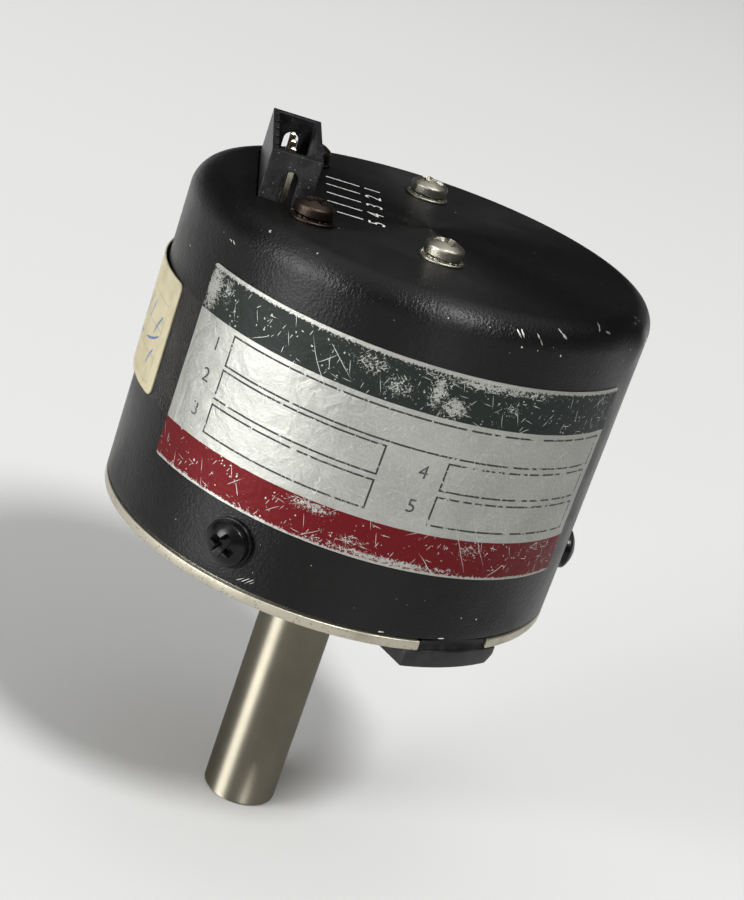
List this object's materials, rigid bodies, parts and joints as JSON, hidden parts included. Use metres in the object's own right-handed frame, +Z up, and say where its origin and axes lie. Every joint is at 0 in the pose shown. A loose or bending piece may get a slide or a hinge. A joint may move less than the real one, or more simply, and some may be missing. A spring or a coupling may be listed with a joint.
{
  "type": "capacitance diaphragm gauge",
  "caption": "Vacuum gauge: black round can with nameplate, base plate, smooth inlet tube below and a pin header with screws on its lid; sensor and boards inside.",
  "frame": {"origin": "on the can's axis, at the underside of the base plate where the inlet tube leaves it", "axes": "+Z up the can's axis from the tube towards the lid, -Y towards the nameplate, +X to the right of someone facing the nameplate"},
  "size_m": [0.0802, 0.0763, 0.1139],
  "materials": {
    "can_paint": "satin black wrinkle paint with scratches and chips",
    "plate_metal": "bare metal, dull pale",
    "ring_steel": "turned steel",
    "plug_rubber": "black rubber",
    "tube_steel": "bright drawn stainless steel",
    "sensor_alloy": "turned nickel alloy",
    "ceramic": "white ceramic",
    "seal_glass": "dark sealing glass",
    "copper": "copper tube",
    "board": "green glass-fibre board",
    "black_plastic": "dark grey moulded plastic",
    "blue_plastic": "blue moulded plastic",
    "contact_metal": "tinned contact metal",
    "bright_screws": "bright nickel plate",
    "bronze_screws": "dark oxidised bronze",
    "black_screws": "black oxide",
    "foil": "brushed foil with a worn dark band and a red band",
    "paper": "cream paper",
    "clear_film": "clear adhesive tape"
  },
  "bodies": {
    "root": {"can": "can_paint", "base_plate": "plate_metal", "locating_ring": "ring_steel", "notch_plug": "plug_rubber", "inlet_tube": "tube_steel", "sensor_seat": "black_plastic", "sensor_base": "sensor_alloy", "particle_baffle": "sensor_alloy", "diaphragm": "sensor_alloy", "electrode_spacer": "sensor_alloy", "electrode_disc": "ceramic", "electrode_spring": "ring_steel", "electrode_clamp": "sensor_alloy", "sensor_cover": "sensor_alloy", "feedthrough_glass": "seal_glass", "feedthrough_pins": "contact_metal", "getter_cup": "sensor_alloy", "pinch_off_tube": "copper", "lower_standoffs": "ring_steel", "lower_board": "board", "upper_standoffs": "ring_steel", "upper_board": "board", "board_spacers": "ring_steel", "board_nuts": "ring_steel", "link_block": "black_plastic", "link_pins": "contact_metal", "board_chips": "black_plastic", "board_capacitors": "black_plastic", "trim_pots": "blue_plastic", "header_shroud": "black_plastic", "header_contacts": "contact_metal", "lid_washers": "bright_screws", "lid_screws": "bright_screws", "board_screw_washers": "bronze_screws", "board_screws": "bronze_screws", "side_washers": "black_screws", "side_screws": "black_screws", "nameplate": "foil", "paper_sticker": "paper", "clear_tape": "clear_film"}
  },
  "joints": []
}
